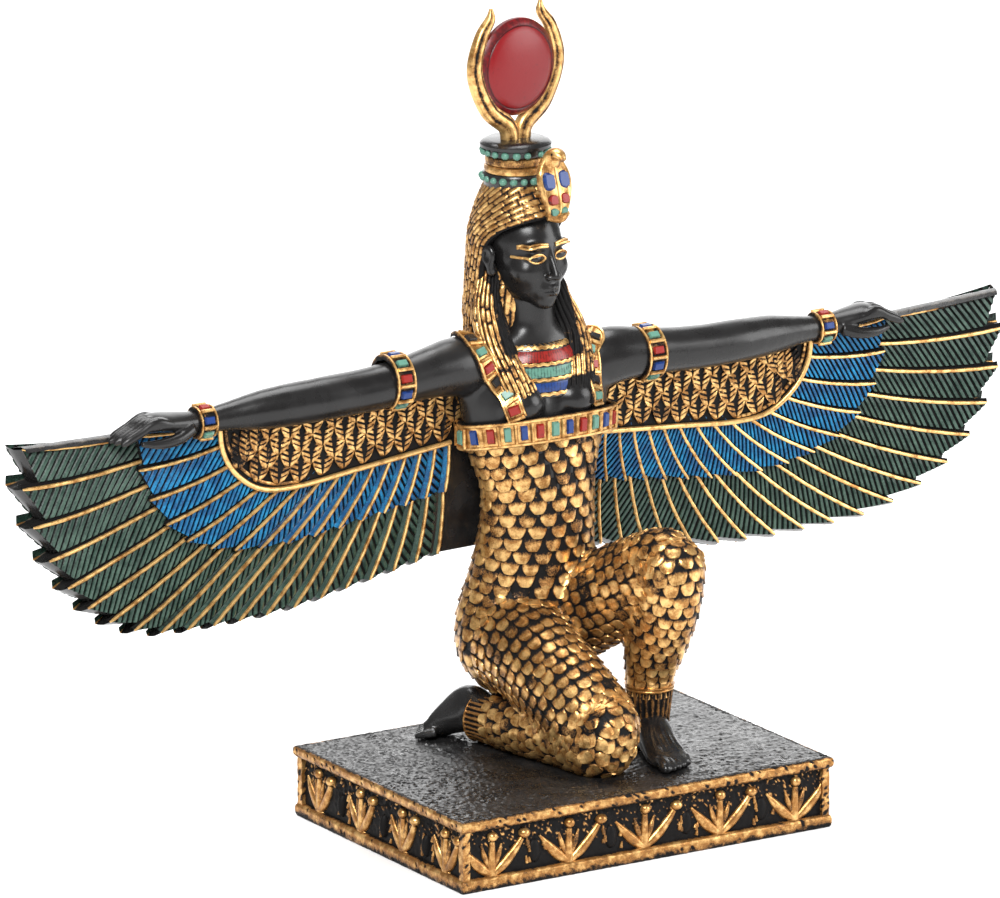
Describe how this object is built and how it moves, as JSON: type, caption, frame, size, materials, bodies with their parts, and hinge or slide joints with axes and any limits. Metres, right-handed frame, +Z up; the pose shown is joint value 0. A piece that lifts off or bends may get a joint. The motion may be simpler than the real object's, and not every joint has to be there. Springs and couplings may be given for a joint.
{
  "type": "isis statue",
  "caption": "Kneeling winged goddess figurine in black and gold resin, arms spread along inlaid wings, horned sun-disc crown, on a rectangular plinth with papyrus relief.",
  "frame": {"origin": "middle of the plinth's flat underside", "axes": "+X to the figure's left along the wings, -Y to its front, +Z up"},
  "size_m": [0.3054, 0.084, 0.2149],
  "materials": {
    "black_lacquer": "semi-gloss black paint on resin",
    "antique_gold": "metallic gold paint rubbed over black, dark in the hollows",
    "feather_blue": "blue metallic paint with black barb lines",
    "feather_green": "dark green-grey paint with black barb lines",
    "enamel_red": "glossy red enamel",
    "enamel_blue": "blue enamel inlay",
    "enamel_turquoise": "pale green enamel inlay"
  },
  "bodies": {
    "root": {"plinth": "black_lacquer", "figure": "antique_gold"}
  },
  "joints": []
}
